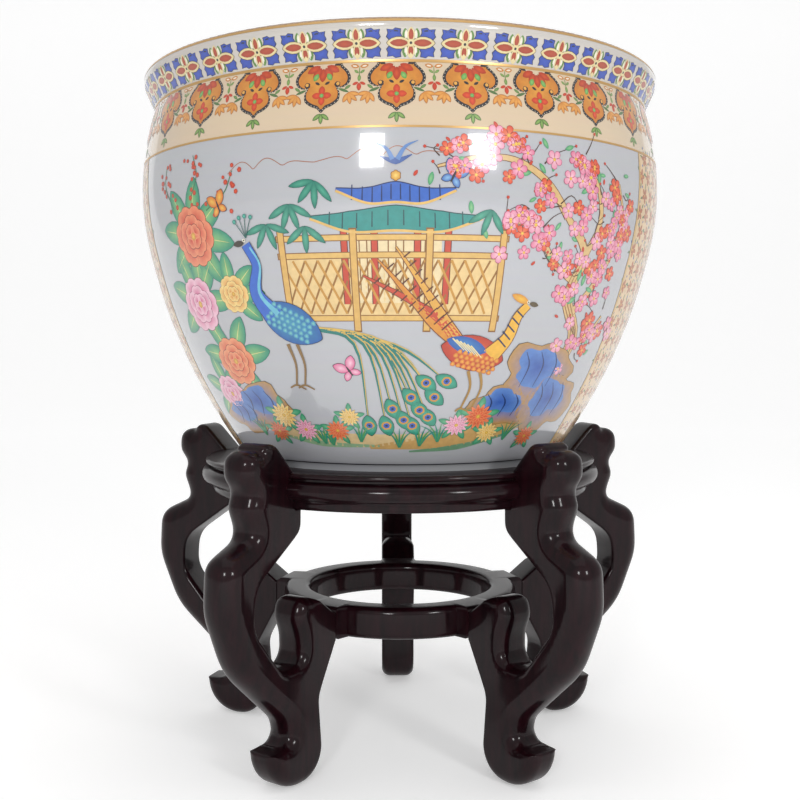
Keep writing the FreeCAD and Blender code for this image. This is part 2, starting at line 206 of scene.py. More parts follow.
# rows of points on the rounded edges, every 10 degrees, and a field of points between them
depth = edge_radius[None, :] * (1 - np.cos(np.radians(np.arange(10, 91, 10))))[:, None]
rows = (outline[None] + inwards[None] * depth[..., None]).reshape(-1, 2)
kept = nearest(rows, outline).min(1) > depth.ravel() * 0.97  # not where another side is nearer
across, up = np.meshgrid(np.arange(103, 221, LEG_FIELD), np.arange(-1, 256, LEG_FIELD))
field = np.stack([across.ravel(), up.ravel()], 1)
gaps = nearest(field, outline)
closest = gaps.argmin(1)
inner = ((field - outline[closest]) * inwards[closest]).sum(1) > 0
inner &= gaps.min(1) > edge_radius[closest] + FIELD_GAP
flat = np.vstack([outline, rows[kept], field[inner]])
count = len(outline)
ring = [(i, (i + 1) % count) for i in range(count)]
INSIDE_ONLY, MERGE_WITHIN = 1, 1e-4
flat_points, _, triangles, origin, _, _ = delaunay_2d_cdt(
    [tuple(p) for p in flat], ring, [], INSIDE_ONLY, MERGE_WITHIN
)
flat = np.array(flat_points)[:, :2]
triangles = np.array(triangles)
# half the thickness falls as a quarter circle towards the outline: R * (1 - sqrt(1 - fall^2))
fall = np.clip(1 - nearest(flat, outline) / edge_radius[None], 0, 1)
half = (LEG_THICK / 2 - edge_radius[None] * (1 - np.sqrt(1 - fall**2))).min(1)
near = np.stack([flat[:, 0], half, flat[:, 1]], 1)
far = near * (1, -1, 1)
# the triangulation renumbers the points, so the outline's are looked up before it is walled
edge = np.array([min(o) if o else -1 for o in origin])
on_outline = (edge >= 0) & (edge < count)
rim = np.zeros(count, int)
rim[edge[on_outline]] = np.flatnonzero(on_outline)
rim_next = np.roll(rim, -1)
rim_far, next_far = rim + len(flat), rim_next + len(flat)
strip = np.vstack([np.stack([rim, rim_next, next_far], 1), np.stack([rim, next_far, rim_far], 1)])
leg_points = np.vstack([near, far])
leg_faces = np.concatenate([triangles[:, ::-1], triangles + len(flat), strip])
for number in range(5):
    azimuth = math.radians(LEG_AZIMUTH + 72 * number)
    cos, sin = math.cos(azimuth), math.sin(azimuth)
    turn = np.array([[cos, sin, 0], [-sin, cos, 0], [0, 0, 1]])
    leg = new_object(f"scroll_leg_{number + 1}", leg_points @ turn, leg_faces, lacquer)
    leg.data.set_sharp_from_angle(angle=CREASE)
    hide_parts(f"leg_{number + 1}")
    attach(leg, "stand")


# ---- Seat ring: lacquered hardwood, turned with a bead on its top edge, a groove, a big
# ---- half-round and a hollow below. Its five segments meet in butt joints that the lacquer
# ---- hides, so it is drawn whole; the middle is let down for the board.
RING_UNDER, BOARD_UNDER, RING_TOP = 201.5, 214.0, 228.0
REBATE_R, RING_INNER, RING_STEPS = 127.65, 116.0, 288


def smooth_curve(points, per_span):
    """A Catmull-Rom curve through the points, at each parallel to the chord of its neighbours.

    Between b and c, at t from 0 to 1: half of 2b + (c-a)t + (2a-5b+4c-d)t^2 + (3b-a-3c+d)t^3.
    """
    p = np.asarray(points, float)
    p = np.vstack([2 * p[0] - p[1], p, 2 * p[-1] - p[-2]])
    t = np.linspace(0, 1, per_span, endpoint=False)[None, :, None]
    a, b, c, d = (p[i : len(p) - 3 + i, None, :] for i in range(4))
    squared, cubed = 2 * a - 5 * b + 4 * c - d, 3 * b - a - 3 * c + d
    curve = 0.5 * (2 * b + (c - a) * t + squared * t**2 + cubed * t**3)
    return np.vstack([curve.reshape(-1, p.shape[1]), p[-2:-1]])


def arc_points(centre, radius, start, end, count=9):
    """Points on an arc: centre plus radius * (cos a, sin a), a in degrees from start to end."""
    turn = np.radians(np.linspace(start, end, count))
    return np.stack([centre[0] + radius * np.cos(turn), centre[1] + radius * np.sin(turn)], 1)


def turned(profile, steps):
    """Turn a profile of (r, z) about Z: points at (r sin a, -r cos a, z), a from the front."""
    angle = np.linspace(0, 2 * math.pi, steps, endpoint=False)[:, None]
    r, z = profile[None, :, 0], profile[None, :, 1]
    points = np.stack([r * np.sin(angle), -r * np.cos(angle), z + 0 * angle], -1)
    i, j = np.meshgrid(np.arange(steps), np.arange(len(profile) - 1), indexing="ij")
    here, there = i * len(profile) + j, (i + 1) % steps * len(profile) + j
    faces = np.stack([here, there, there + 1, here + 1], -1)
    return points.reshape(-1, 3), faces.reshape(-1, 4)


ring_profile = np.vstack(
    [
        (RING_INNER, RING_UNDER), (RING_INNER, BOARD_UNDER), (REBATE_R, BOARD_UNDER),
        (REBATE_R, 227.4), (128.3, RING_TOP),
        arc_points((155.5, 226), 2.0, 90, -90),
        (153.4, 223.8), (153.4, 222.3), (154, 222),
        arc_points((153.9, 215.5), 6.5, 88, -90, 17),
        smooth_curve(
            [(153.2, 208.6), (151.6, 206.6), (151.2, 203.4), (150.2, 201.8), (149, RING_UNDER)], 4
        ),
        (RING_INNER, RING_UNDER),
    ]
)
points, faces = turned(ring_profile, RING_STEPS)
seat_ring = new_object("moulded_seat_ring", points, faces, lacquer)
seat_ring.data.set_sharp_from_angle(angle=CREASE)
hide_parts(*[f"seat_ring_segment_{i}" for i in range(1, 6)])
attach(seat_ring, "stand")

# ---- Seat board: a plain hardwood disc, lacquered like the rest, let into the seat ring's
# ---- rebate, where it floats. The bowl stands on it.
BOARD_TOP, BOARD_STEPS = 226.0, 144
board_profile = np.array(
    [(0, BOARD_UNDER), (127.2, BOARD_UNDER), (127.45, 225.4), (126.9, BOARD_TOP), (0, BOARD_TOP)]
)
points, faces = turned(board_profile, BOARD_STEPS)
board = new_object("round_seat_board", points, faces, lacquer)
board.data.set_sharp_from_angle(angle=CREASE)
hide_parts("seat_board")
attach(board, "stand")

# ---- Stretcher ring: a thick flat ring of lacquered hardwood in five butt-jointed segments,
# ---- with worn edges and a flat land for each leg's scroll, which is tenoned to it.
STRETCHER_R, STRETCHER_HOLE, STRETCHER_UNDER, STRETCHER_TOP = 95.0, 73.7, 97.7, 121.7
LAND_R, LAND_HALF = 104.0, 15.5
WORN_EDGE, EDGE_STEPS = 5.0, 7
STEPS_ROUND = 360
# the outline from above: the ring's circle or, where it is farther out, the land's straight
# face at LAND_R and its straight flanks LAND_HALF to both sides of the leg's middle
angle = np.linspace(0, 2 * math.pi, STEPS_ROUND, endpoint=False)
span = 2 * math.pi / 5
from_leg = np.abs((angle - math.radians(LEG_AZIMUTH - 270) + span / 2) % span - span / 2)
land_face = LAND_R / np.cos(from_leg)
land_flank = LAND_HALF / np.maximum(np.sin(from_leg), 1e-3)
outer = np.maximum(STRETCHER_R, np.minimum(land_face, land_flank))
upper = arc_points((-WORN_EDGE, -WORN_EDGE), WORN_EDGE, 90, 0, EDGE_STEPS)
worn = np.vstack([upper, upper[::-1] * (1, -1)])
z_edge = worn[:, 1] + np.repeat([STRETCHER_TOP, STRETCHER_UNDER], EDGE_STEPS)
outer_r = outer[:, None] + worn[None, :, 0]
inner_r = STRETCHER_HOLE - worn[None, :, 0] + 0 * outer[:, None]
r = np.concatenate([outer_r, inner_r[:, ::-1]], 1)
z = np.concatenate([z_edge, z_edge[::-1]])[None, :] + 0 * r
points = np.stack([r * np.sin(angle)[:, None], -r * np.cos(angle)[:, None], z], -1)
i, j = np.meshgrid(np.arange(STEPS_ROUND), np.arange(r.shape[1]), indexing="ij")
here, there = i * r.shape[1], (i + 1) % STEPS_ROUND * r.shape[1]
j_next = (j + 1) % r.shape[1]
faces = np.stack([here + j, here + j_next, there + j_next, there + j], -1).reshape(-1, 4)
stretcher = new_object("stretcher_ring", points.reshape(-1, 3), faces, lacquer)
stretcher.data.set_sharp_from_angle(angle=CREASE)
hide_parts(*[f"stretcher_segment_{i}" for i in range(1, 6)])
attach(stretcher, "stand")

# ---- Loose tenons and tongues: bare hardwood, planed and glued inside the joints, where
# ---- nothing shows of them. They are kept from the CAD model.
# Planed hardwood without a finish: dull red-brown with fine dark and light streaks.
BARE_STREAKS = (300.0, 40.0, 300.0)  # per metre: streaks 3.3 mm wide and 25 mm long
bare, tree, shader = new_material("bare_hardwood_tenons")
place = add(tree, "ShaderNodeTexCoord").outputs["Object"]
stretched = add(tree, "ShaderNodeMapping", _3=BARE_STREAKS, Vector=place).outputs[0]
grain = add(tree, "ShaderNodeTexNoise", Vector=stretched, Scale=1.0, Detail=4.0)
tone = add(tree, "ShaderNodeValToRGB", Fac=grain.outputs["Fac"])
tone.color_ramp.elements[0].color = linear("#5A3220")
tone.color_ramp.elements[1].color = linear("#8C5A38")
wire(shader, Base_Color=tone.outputs["Color"], Roughness=0.6)
for node in ("leg_tenons", "scroll_tenons", "seat_ring_splines", "stretcher_splines"):
    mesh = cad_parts[node].data
    mesh.materials.clear()
    mesh.materials.append(bare)

# ---- Bowl: one thrown porcelain body, glazed inside and out, with a rolled lip, a drawn-in
# ---- neck and a foot ring, standing loose on the board. The glaze is bluish grey-white; a peach
# ---- lustre band goes round under the neck and a paler one up the rim.
NECK_LINE, SHOULDER_LINE, LIP_EDGE = 497.5, 454.6, 521.0
BOWL_STEPS = 256
bowl_profile = np.vstack(
    [
        # under the foot, from the middle out
        [(0, 232), (108, 232), (112, 231), (113, 228), (113.3, 226.6), (114.2, BOARD_TOP)],
        # up the outside, over the lip and down the inside
        smooth_curve(
            [
                (122.6, 226), (124.1, 226.8), (124.6, 228.4), (126.0, 231.2), (128.8, 234.4),
                (132.2, 239.4), (138.4, 248.6), (145.2, 259.5), (153.9, 274), (162.6, 290),
                (170.4, 306), (177.2, 322), (183.2, 337), (188.6, 353), (193.2, 369),
                (197.2, 384), (200.4, 399), (202.7, 414), (203.7, 430), (203.4, 445),
                (201.9, 461), (199.5, 476), (196.6, 488), (194.4, 495), (193.9, 498.5),
                (195.6, 503), (198.5, 509), (200.8, 514.5), (201.7, 518.5), (200.8, 521.7),
                (198.4, 523.6), (195.3, 524.0), (192, 522.9), (189.9, 520), (188.9, 515),
                (187.4, 506), (186.8, 498), (189.5, 488), (192.8, 476), (195.4, 461), (197, 445),
                (197.2, 430), (196, 414), (190.2, 384), (181.2, 353), (169.8, 322), (155.4, 290),
                (139, 262), (129.5, 252), (118, 244.4), (106, 242.2), (96, 242),
            ],
            6,
        ),
        [(40, 242), (0, 242)],
    ]
)
foot, top = 6, bowl_profile[:, 1].argmax()
wall_r, wall_z = bowl_profile[foot:top].T
# Porcelain under a thick feldspar glaze: a clear, mirror-like coat over a white body that light
# enters a little. The glaze has run in faint streaks and lies in slow waves.
RUNS = (6.0, 6.0, 120.0)  # per metre, times 2: streaks 83 mm round the bowl and 4 mm high
GLAZE_WAVES, GLAZE_DEPTH = 9.0, 0.002  # per metre and metres: waves about 110 mm across
WHITE_WALL, PEACH_BAND = "#AFB0B4", "#CDB89C"
UPPER_ZONES = ((0.6, "#BFB9B2"), (0.7, "#9C7850"), (0.8, "#C2C5CA"))  # rim, lip's gold, inside
glaze, tree, shader = new_material("glazed_porcelain")
profile_place = add(tree, "ShaderNodeUVMap", {"uv_map": "profile"}).outputs["UV"]
height = add(tree, "ShaderNodeSeparateXYZ", Vector=profile_place).outputs["Y"]
zones = add(tree, "ShaderNodeValToRGB", Fac=height)
ramp = zones.color_ramp
ramp.interpolation = "CONSTANT"
ramp.elements[0].color = linear(WHITE_WALL)
ramp.elements[1].position = 0.5
ramp.elements[1].color = linear(PEACH_BAND)
for stop, colour in UPPER_ZONES:
    element = ramp.elements.new(stop)
    element.color = linear(colour)
place = add(tree, "ShaderNodeTexCoord").outputs["Object"]
flattened = add(tree, "ShaderNodeMapping", _3=RUNS, Vector=place).outputs[0]
streaks = add(tree, "ShaderNodeTexNoise", Vector=flattened, Scale=2.0, Detail=4.0)
multiply = {"data_type": "RGBA", "blend_type": "MULTIPLY"}
zone_colour, streak_colour = zones.outputs["Color"], streaks.outputs["Color"]
mixed = add(tree, "ShaderNodeMix", multiply, Factor=0.07, _6=zone_colour, _7=streak_colour)
wave = add(tree, "ShaderNodeTexNoise", Vector=place, Scale=GLAZE_WAVES, Detail=2.0)
bump = add(
    tree, "ShaderNodeBump", Strength=0.1, Distance=GLAZE_DEPTH, Height=wave.outputs["Fac"]
)
wire(shader, Base_Color=mixed.outputs[2], Roughness=0.12)
wire(shader, Coat_Weight=1.0, Coat_Roughness=0.02, Coat_Normal=bump.outputs["Normal"])
wire(shader, Subsurface_Weight=0.05, Subsurface_Radius=(0.004, 0.003, 0.002))
points, faces = turned(bowl_profile, BOWL_STEPS)
bowl = new_object("porcelain_fish_bowl", points, faces, glaze)
heights = np.tile(bowl_profile[:, 1], BOWL_STEPS)
outside = np.tile(np.arange(len(bowl_profile)) < top, BOWL_STEPS)
# each zone's place on the colour ramp: white wall, peach band, rim, lip, inside
zone = np.where(heights > NECK_LINE, 0.65, np.where(heights > SHOULDER_LINE, 0.55, 0.3))
zone = np.where(heights > LIP_EDGE, 0.75, zone)
zone = np.where(outside | (heights > LIP_EDGE), zone, 0.9)
uv = bowl.data.uv_layers.new(name="profile")
corners = np.empty(len(bowl.data.loops), int)
bowl.data.loops.foreach_get("vertex_index", corners)
uv.data.foreach_set("uv", np.stack([corners * 0.0, zone[corners]], 1).ravel())
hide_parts("bowl")
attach(bowl, "bowl")

# ---- Overglaze colours: soft enamels and gold, painted on the glaze and fired in thin coats.
# ---- Each coat is a sheet that follows the bowl's outside, a few hundredths of a millimetre
# ---- above it. The sections after this one paint with them, from the rim down.
GIRTH_R = 200.0  # mm: canvas x is the arc at this radius
FIRST_COAT, COAT = 0.07, 0.025  # mm: height of the first coat, and of each one over it
# Lead enamel: full colour, a little uneven where the brush laid it thicker, under a soft gloss.
BRUSHED = 260.0  # per metre: patches about 4 mm wide
enamel, tree, shader = new_material("overglaze_enamel")
tint = add(tree, "ShaderNodeVertexColor", {"layer_name": "enamel"}).outputs["Color"]
place = add(tree, "ShaderNodeTexCoord").outputs["Object"]
cloud = add(tree, "ShaderNodeTexNoise", Vector=place, Scale=BRUSHED, Detail=3.0)
worn = add(tree, "ShaderNodeMapRange", Value=cloud.outputs["Fac"], To_Min=0.66, To_Max=0.98)
coloured = add(tree, "ShaderNodeVectorMath", {"operation": "SCALE"}, _0=tint, Scale=worn.outputs[0])
wire(shader, Base_Color=coloured.outputs[0], Roughness=0.3, Coat_Weight=0.8, Coat_Roughness=0.05)
# Burnished gold powder over glaze: warm, half metallic, its highlights blurred by the burnisher.
gilding, tree, shader = new_material("fired_gold")
wire(shader, Base_Color=linear("#C79F66"), Metallic=0.55, Roughness=0.28)
wall_lean = 1 / np.sqrt(1 + np.gradient(wall_r, wall_z) ** 2)  # height gained per mm of wall
coats = []  # x, z, layer, colours and faces of each coat painted on the piece in hand


def laid(x, z, across, along):
    """Canvas places that lie across and along mm from (x, z), true to scale on the bowl.

    The canvas is x mm round a girth of 200 mm radius, 0 in front, by the height z: across is
    stretched by 200 over the bowl's radius there, and along is shortened by the wall's lean.
    """
    radius, lean = np.interp(z, wall_z, wall_r), np.interp(z, wall_z, wall_lean)
    return x + across * GIRTH_R / radius, z + along * lean


def row_places(places):
    """Places as rows of x, z, turn in degrees and scale."""
    return np.asarray(places, float).reshape(-1, 4)


def stamp(outline, places, inner, outer, layer):
    """Fill a closed outline at each place, shaded from its middle to its edge.

    The outline is star-shaped about 0, 0 and is filled by copies of itself shrunk in even
    steps, none wider than 6 mm, so that the coat follows the wall. Its layer is the number of
    coats under it.
    """
    outline, places = np.asarray(outline, float), row_places(places)
    n = len(outline)
    rings = max(1, math.ceil(np.hypot(*outline.T).max() * places[:, 3].max() / 6))
    share = np.arange(1, rings + 1) / rings
    unit = np.vstack([[(0, 0)], (outline[None] * share[:, None, None]).reshape(-1, 2)])
    cos, sin = (f(np.radians(places[:, 2:3])) * places[:, 3:4] for f in (np.cos, np.sin))
    across = unit[:, 0] * cos - unit[:, 1] * sin
    along = unit[:, 0] * sin + unit[:, 1] * cos
    x, z = laid(places[:, :1], places[:, 1:2], across, along)
    here, there = np.arange(n), (np.arange(n) + 1) % n
    faces = [np.stack([0 * here, 1 + here, 1 + there], 1)]
    for ring in range(rings - 1):
        low, high = 1 + ring * n, 1 + (ring + 1) * n
        faces += [np.stack([low + here, high + here, high + there], 1)]
        faces += [np.stack([low + here, high + there, low + there], 1)]
    faces = np.vstack(faces)[None] + (np.arange(len(places)) * len(unit))[:, None, None]
    blend = np.concatenate([[0], np.repeat(share, n)])[:, None]
    colour = np.array(linear(inner)) * (1 - blend) + np.array(linear(outer)) * blend
    colours = np.tile(colour, (len(places), 1))
    coats.append((x.ravel(), z.ravel(), layer, colours, faces.reshape(-1, 3)))


def stroke(points, widths, colour, layer, spans=5):
    """A brush line through canvas points, as a ribbon whose width follows the widths.

    Each point is set off by plus and minus half the width along the line's normal, and a broad
    ribbon gets lanes, none wider than 4 mm.
    """
    line = smooth_curve(points, spans)
    width = np.interp(np.linspace(0, 1, len(line)), np.linspace(0, 1, len(widths)), widths)
    x, z = line[:, :1], line[:, 1:]
    radius, lean = np.interp(z, wall_z, wall_r), np.interp(z, wall_z, wall_lean)
    ahead = np.gradient(line, axis=0) * np.hstack([radius / GIRTH_R, 1 / lean])
    left = np.stack([-ahead[:, 1], ahead[:, 0]], 1)
    left = left / np.maximum(np.hypot(*ahead.T), 1e-6)[:, None]
    lanes = max(2, math.ceil(width.max() / 4) + 1)
    off = np.linspace(-0.5, 0.5, lanes)[None, :] * width[:, None]
    px, pz = laid(x, z, left[:, :1] * off, left[:, 1:] * off)
    i, j = np.meshgrid(np.arange(len(line) - 1), np.arange(lanes - 1), indexing="ij")
    a = (i * lanes + j).ravel()
    b = a + lanes
    faces = np.vstack([np.stack([a, b, b + 1], 1), np.stack([a, b + 1, a + 1], 1)])
    coats.append((px.ravel(), pz.ravel(), layer, np.tile(linear(colour), (px.size, 1)), faces))


def lay_on(name):
    """Turn the coats painted so far into one object on the bowl, at angle x / 200 round it."""
    starts = np.cumsum([0] + [len(coat[0]) for coat in coats[:-1]])
    x, z = (np.concatenate([coat[i] for coat in coats]) for i in (0, 1))
    lift = np.concatenate([np.full(len(coat[0]), FIRST_COAT + COAT * coat[2]) for coat in coats])
    r, angle = np.interp(z, wall_z, wall_r) + lift, x / GIRTH_R
    points = np.stack([r * np.sin(angle), -r * np.cos(angle), z], 1)
    faces = np.vstack([coat[4] + start for coat, start in zip(coats, starts)])
    obj = new_object(name, points, faces, enamel)
    tints = obj.data.color_attributes.new(name="enamel", type="FLOAT_COLOR", domain="POINT")
    tints.data.foreach_set("color", np.vstack([coat[3] for coat in coats]).ravel())
    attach(obj, "bowl")
    coats.clear()


def leaf(length, width, n=14):
    """A pointed oval along x: y = width / 2 * sin t * |sin t|^0.5 over a full turn of t."""
    t = np.linspace(0, 2 * math.pi, n, endpoint=False)
    return np.stack([length / 2 * np.cos(t), width / 2 * np.sin(t) * np.abs(np.sin(t)) ** 0.5], 1)


def rosette(radius, petals, notch, n=30):
    """A scalloped disc: radius * (1 - notch + notch * |sin(petals * t / 2)|^0.6) at angle t."""
    t = np.linspace(0, 2 * math.pi, n, endpoint=False)
    r = radius * (1 - notch + notch * np.abs(np.sin(petals * t / 2)) ** 0.6)
    return np.stack([r * np.cos(t), r * np.sin(t)], 1)


def ring_of(places, count, distance, first=0.0):
    """Places round each of some places: count of them at a distance, each turned outwards."""
    places = row_places(places)
    angle = first + 360 / count * np.arange(count)[None, :] + places[:, 2:3]
    away, cos, sin = distance * places[:, 3:4], np.cos(np.radians(angle)), np.sin(np.radians(angle))
    x, z = laid(places[:, :1], places[:, 1:2], away * cos, away * sin)
    return np.stack([x, z, angle, places[:, 3:4] + 0 * angle], -1).reshape(-1, 4)


def beside(places, across, along, turn=0.0):
    """Places moved by a step in their own turned and scaled frame, and turned by some degrees."""
    places = row_places(places)
    cos, sin = (f(np.radians(places[:, 2])) * places[:, 3] for f in (np.cos, np.sin))
    step = across * cos - along * sin, across * sin + along * cos
    x, z = laid(places[:, 0], places[:, 1], *step)
    return np.stack(np.broadcast_arrays(x, z, places[:, 2] + turn, places[:, 3]), 1)


def round_the_bowl(count, first_deg, z):
    """Upright places at even angles round the bowl."""
    angle = np.radians(first_deg + 360 / count * np.arange(count))
    angle = (angle + math.pi) % (2 * math.pi) - math.pi
    return np.stack([angle * GIRTH_R, z + 0 * angle, 0 * angle, 1 + 0 * angle], 1)


# ---- Rim tiles: 36 enamelled on the flare, each with four cobalt corners round a cross of
# ---- russet petals on cream ones, with green crescents beside the short ones. Small brown
# ---- touches along the lip stand for its worn gold.
CREAM, RUSSET, COBALT = ("#EADCA8", "#E3D098"), ("#B8481F", "#A33A1C"), ("#2F52BC", "#2443A6")
COBALT_LINE, TILE_LINE, TILE_EYE = ("#1C2440",) * 2, ("#3A3020",) * 2, ("#202024",) * 2
CRESCENT, CRESCENT_LIGHT = ("#4F7A30", "#5F8A38"), ("#F2EFE2", "#E9E2C8")
tiles = round_the_bowl(36, 1.03, 507.6)
corner = np.array(
    [
        (5.6, 3.4), (9, 3.2), (13.6, 2.2), (15.2, 4), (14.3, 6), (14.8, 8.3), (11.4, 7.9),
        (9.9, 9), (6.6, 8.4), (6.9, 6),
    ]
)
middle = corner.mean(0)
for sx, sy in ((1, 1), (-1, 1), (-1, -1), (1, -1)):
    patch = (corner - middle) * (sx, sy)
    spots = beside(tiles, middle[0] * sx, middle[1] * sy)
    stamp(patch * 1.13, spots, *COBALT_LINE, 0)
    stamp(patch, spots, *COBALT, 1)
    stamp(leaf(8.2, 3.8), beside(tiles, 3.6 * sx, 4.9 * sy, 90), *CRESCENT, 1)
    stamp(leaf(6.2, 2.2), beside(tiles, 3.0 * sx, 4.9 * sy, 90), *CRESCENT_LIGHT, 2)
for side in (1, -1):
    turn = 90 - 90 * side
    for length, width, away, colours, layer in (
        (16.0, 8.2, 7.6, TILE_LINE, 2), (15.2, 7.4, 7.6, CREAM, 3), (11.6, 4.6, 7.4, RUSSET, 4)
    ):
        stamp(leaf(length, width), beside(tiles, away * side, 0, turn), *colours, layer)
for side in (1, -1):
    stamp(leaf(9.6, 5.0), beside(tiles, 0, 5.0 * side, 90), *CREAM, 3)
    stamp(leaf(7.6, 3.2), beside(tiles, 0, 5.0 * side, 90), *RUSSET, 4)
stamp(rosette(2.4, 8, 0.1, 14), tiles, *CREAM, 5)
stamp(rosette(0.95, 6, 0.1, 10), tiles, *TILE_EYE, 6)
stamp(leaf(3.6, 1.1, 8), round_the_bowl(150, 0.4, 523.2), "#7A5230", "#7A5230", 0)
stamp(leaf(2.2, 0.9, 8), round_the_bowl(150, 1.6, 522.2), "#8A5C34", "#8A5C34", 0)
lay_on("rim_tile_enamels")

# ---- Neck medallions: 26 orange ones with a dark pearled edge, enamelled on the peach band so
# ---- that they hang from the neck line, with sprigs at their sides and a bow with a small red
# ---- flower between each two.
MEDALS, FIRST_MEDAL, HUNG_FROM = 26, -1.57, 497.0
MIDDLE = 12  # mm from the neck line down to a medallion's middle
DARK, GRASS = ("#26262C",) * 2, ("#8CC06A", "#5C9A48")
SAGE, POPPY = ("#8FAE5E", "#5E8440"), ("#D2452A", "#B83A20")
medals = round_the_bowl(MEDALS, FIRST_MEDAL, HUNG_FROM)
hearts = beside(medals, 0, -MIDDLE)
half = np.array(
    # the right edge from the neck line down to the tip
    [
        (11.4, 0), (12.2, -2.4), (15.2, -5.4), (17.3, -9.8), (16.2, -14), (12.6, -16.4),
        (9.6, -16.6), (10.9, -20), (10.4, -24.6), (6.4, -27.8), (2.6, -29.4), (0, -32),
    ]
)
shield = np.vstack([half, half[-2::-1] * (-1, 1)]) + (0, MIDDLE)
shield = smooth_curve(shield, 3)[::-1]
stamp(shield * 1.07, hearts, *DARK, 0)
stamp(shield * 0.95, hearts, "#DF9C3C", "#CC7E28", 1)
pearls = smooth_curve(half + (0, MIDDLE), 4)[::2] * 1.008
for x, y in np.vstack([pearls, pearls * (-1, 1)]):
    stamp(rosette(0.34, 4, 0.1, 6), beside(medals, x, y - MIDDLE), "#D9CDB8", "#D9CDB8", 2)
for turn, reach in ((-152, 7.2), (-120, 7.4), (-90, 7.6), (-60, 7.4), (-28, 7.2)):
    right, down = reach * math.cos(math.radians(turn)), reach * math.sin(math.radians(turn))
    stamp(leaf(9.4, 5.0), beside(medals, right, down - 0.4, turn), "#D4501F", "#B03414", 2)
for side in (1, -1):
    stamp(leaf(5.6, 3.6), beside(medals, 4.4 * side, -9.2, -90 + 28 * side), *GRASS, 3)
    stamp(leaf(3.6, 1.8), beside(medals, 3.2 * side, -13.4, 30 * side), *DARK, 3)
    stamp(rosette(2.1, 5, 0.2, 14), beside(medals, 9.8 * side, -14.4), *DARK, 2)
    stamp(rosette(1.2, 5, 0.2, 12), beside(medals, 10.1 * side, -14.0), "#E6A94C", "#E6A94C", 3)
    for turn, reach in ((-10, 7.0), (-45, 7.6), (-80, 7.4), (-118, 6.2)):
        toward = -90 + (90 + turn) * side
        out, down = (3.6 * f(math.radians(toward)) for f in (math.cos, math.sin))
        step = (17.0 * side + out, -20.5 + down)
        stamp(leaf(reach + 0.8, 3.2), beside(medals, *step, toward), "#A8672C", "#A8672C", 0)
        stamp(leaf(reach, 2.4), beside(medals, *step, toward), "#E5A552", "#D58C3C", 1)
    stamp(leaf(7.4, 1.9), beside(medals, 13.8 * side, -18.6, -20 * side), "#5A7A44", "#4A6A3A", 0)
    stamp(leaf(4.6, 2.0), beside(medals, 16.4 * side, -16.6, 35 * side), "#7A9A54", "#5A7A44", 0)
blossom = beside(medals, 0, -21.6)
stamp(leaf(6.4, 4.4), ring_of(blossom, 4, 3.3), "#E2502A", "#BE3A1C", 3)
stamp(rosette(1.5, 6, 0.15, 12), blossom, *GRASS, 4)
for turn in (-90, -38, -142):
    tip = (3.4 * math.cos(math.radians(turn)), -33.6 + 3.4 * math.sin(math.radians(turn)))
    stamp(leaf(6.6, 2.9), beside(medals, *tip, turn), "#4A6A34", "#4A6A34", 0)
    stamp(leaf(5.6, 2.0), beside(medals, *tip, turn), "#8FAE5E", "#6E9448", 1)
bows = round_the_bowl(MEDALS, FIRST_MEDAL + 180 / MEDALS, HUNG_FROM)
for side in (1, -1):
    stamp(leaf(5.4, 3.0), beside(bows, 3.0 * side, -2.6, 12 * side), "#D9913E", "#C47A2E", 0)
    stamp(leaf(3.2, 1.3), beside(bows, 3.1 * side, -2.6, 12 * side), "#EFE3CC", "#EFE3CC", 1)
    stamp(leaf(3.6, 1.8), beside(bows, 1.9 * side, -6.4, 40 * side), *SAGE, 0)
    stamp(leaf(4.0, 2.0), beside(bows, 2.3 * side, -14.4, -25 * side), *POPPY, 0)
stamp(leaf(9.4, 0.7), beside(bows, 0, -7.2, 90), "#6A8A48", "#6A8A48", 0)
stamp(leaf(4.6, 2.2), beside(bows, 0, -10.8, 90), *SAGE, 1)
stamp(leaf(5.4, 3.0), beside(bows, 0, -16.6, 90), *POPPY, 1)
lay_on("neck_medallion_enamels")

# ---- Side strips: peach enamel grounds between the two pictures, from the foot to the line
# ---- under the neck, strewn with brown and orange flowers and edged in gold.
STRIPS = ((56.03, 112.0), (-123.0, -66.97))  # degrees round the bowl
STRIP_FOOT, STRIP_TOP = 236, 454
GROUND_ROWS, GROUND_COLUMNS = 60, 48
FLOWER_ROWS, FLOWER_COLUMNS, FLOWER_STEP = 17, 13, 13.0
FLOWERS_R = 204.0  # mm: the flowers are full size at this radius


def bordered(points, widths, dark, light, layer, spans=5, border=1.0):
    """A light brush line over a dark one that is wider by the border."""
    stroke(points, np.asarray(widths) + border, dark, layer, spans)
    stroke(points, widths, light, layer + 1, spans)


